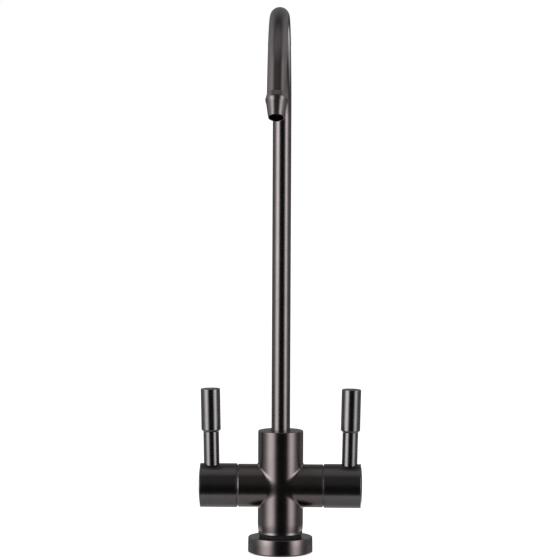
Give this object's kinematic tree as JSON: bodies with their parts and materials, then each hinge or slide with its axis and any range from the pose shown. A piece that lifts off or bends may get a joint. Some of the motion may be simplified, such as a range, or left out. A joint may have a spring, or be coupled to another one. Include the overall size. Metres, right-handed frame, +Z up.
{
  "type": "drinking water faucet",
  "caption": "Slim gooseneck drinking water faucet with upright side levers on a cross-shaped body, a swivel spout and a clamped shank below the deck.",
  "frame": {"origin": "on the shank's axis at the underside of the base gasket, where it rests on the deck", "axes": "+Z up along the riser, -Y the way the spout points at rest, +X along the arms to the right of someone facing the spout"},
  "size_m": [0.0904, 0.1391, 0.3896],
  "materials": {
    "bronze": "satin dark bronze coating over brass",
    "brass": "machined brass",
    "steel": "brushed steel",
    "rubber": "black rubber",
    "acetal": "natural acetal",
    "ceramic": "lapped white ceramic"
  },
  "bodies": {
    "faucet_body": {"valve_body": "bronze", "gland_ring": "bronze", "spout_bush": "acetal", "spout_thrust_washer": "acetal", "base_ring": "bronze", "base_gasket": "rubber", "foot_seal": "rubber", "mounting_shank": "brass", "left_inlet_tube": "brass", "right_inlet_tube": "brass", "left_cartridge_body": "brass", "right_cartridge_body": "brass", "left_cartridge_o_ring": "rubber", "right_cartridge_o_ring": "rubber", "left_seat_seal": "rubber", "right_seat_seal": "rubber", "left_seat_disc": "ceramic", "right_seat_disc": "ceramic", "left_glide_ring": "bronze", "right_glide_ring": "bronze"},
    "spout": {"spout_tube": "bronze", "spout_nozzle": "bronze", "flow_straightener": "rubber", "spout_insert": "brass", "spout_o_rings": "rubber"},
    "left_handle": {"left_rotor_disc": "ceramic", "left_spindle": "brass", "left_spindle_o_rings": "rubber", "left_spindle_washer": "acetal", "left_stop_washer": "steel", "left_hub": "bronze", "left_hub_cap": "bronze", "left_handle_screw": "steel", "left_lever_rod": "bronze", "left_lever_grip": "bronze"},
    "right_handle": {"right_rotor_disc": "ceramic", "right_spindle": "brass", "right_spindle_o_rings": "rubber", "right_spindle_washer": "acetal", "right_stop_washer": "steel", "right_hub": "bronze", "right_hub_cap": "bronze", "right_handle_screw": "steel", "right_lever_rod": "bronze", "right_lever_grip": "bronze"},
    "clamp_set": {"deck_rubber_washer": "rubber", "steel_washer": "steel", "mounting_nut": "brass"}
  },
  "joints": [
    {"name": "spout_swivel", "type": "hinge", "parent": "faucet_body", "child": "spout", "pos_m": [0, 0, 0.055], "axis": [0, 0, 1], "continuous": true},
    {"name": "left_valve_turn", "type": "hinge", "parent": "faucet_body", "child": "left_handle", "pos_m": [-0.038, 0, 0.0375], "axis": [1, 0, 0], "range_deg": [0, 90]},
    {"name": "right_valve_turn", "type": "hinge", "parent": "faucet_body", "child": "right_handle", "pos_m": [0.038, 0, 0.0375], "axis": [1, 0, 0], "range_deg": [0, 90]},
    {"name": "clamp_travel", "type": "slide", "parent": "faucet_body", "child": "clamp_set", "axis": [0, 0, 1], "range_m": [-0.02, 0.017]}
  ]
}
